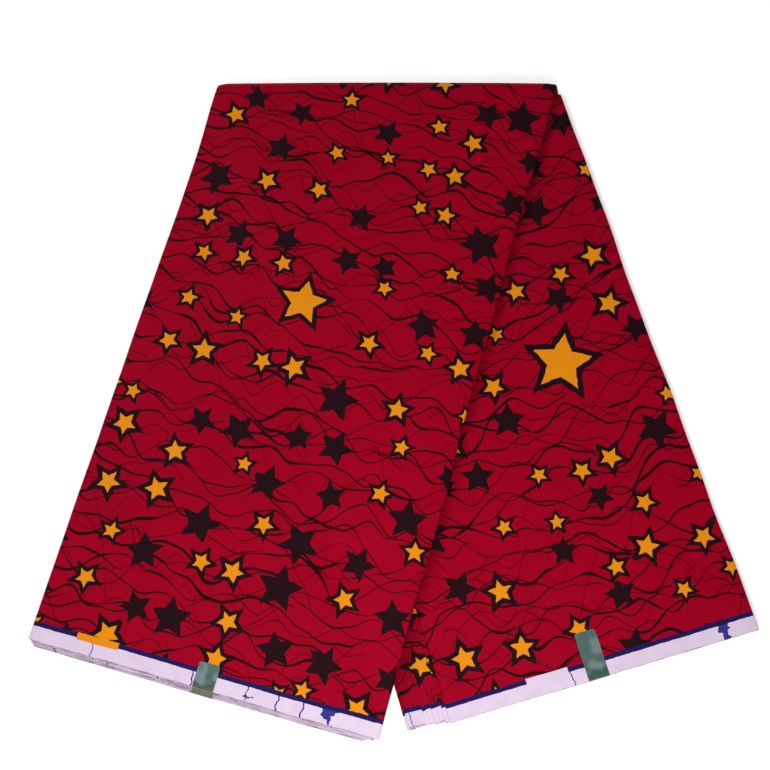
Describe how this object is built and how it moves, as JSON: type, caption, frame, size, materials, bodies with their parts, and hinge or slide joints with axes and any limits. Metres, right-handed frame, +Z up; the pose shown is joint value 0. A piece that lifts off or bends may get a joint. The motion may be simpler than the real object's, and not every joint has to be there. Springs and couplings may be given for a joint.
{
  "type": "folded wax print fabric",
  "caption": "Length of printed cotton pleated into a flat bundle and turned over once, so that its two leaves fan out and lie flat.",
  "frame": {"origin": "centre of the underside", "axes": "+Z up from the surface that the cloth lies on, +X along the crest of the turn, the two selvedge ends towards -Y"},
  "size_m": [0.6252, 0.6128, 0.0227],
  "materials": {
    "printed_cotton": "wax-printed cotton with a slight sheen, red with dark and orange stars, and a pale selvedge with a navy line",
    "foil_label": "thin green foil sticker, left plain"
  },
  "bodies": {
    "root": {"hidden_layers": "printed_cotton", "outer_layer": "printed_cotton", "inner_layer": "printed_cotton", "upper_label": "foil_label", "lower_label": "foil_label"}
  },
  "joints": []
}
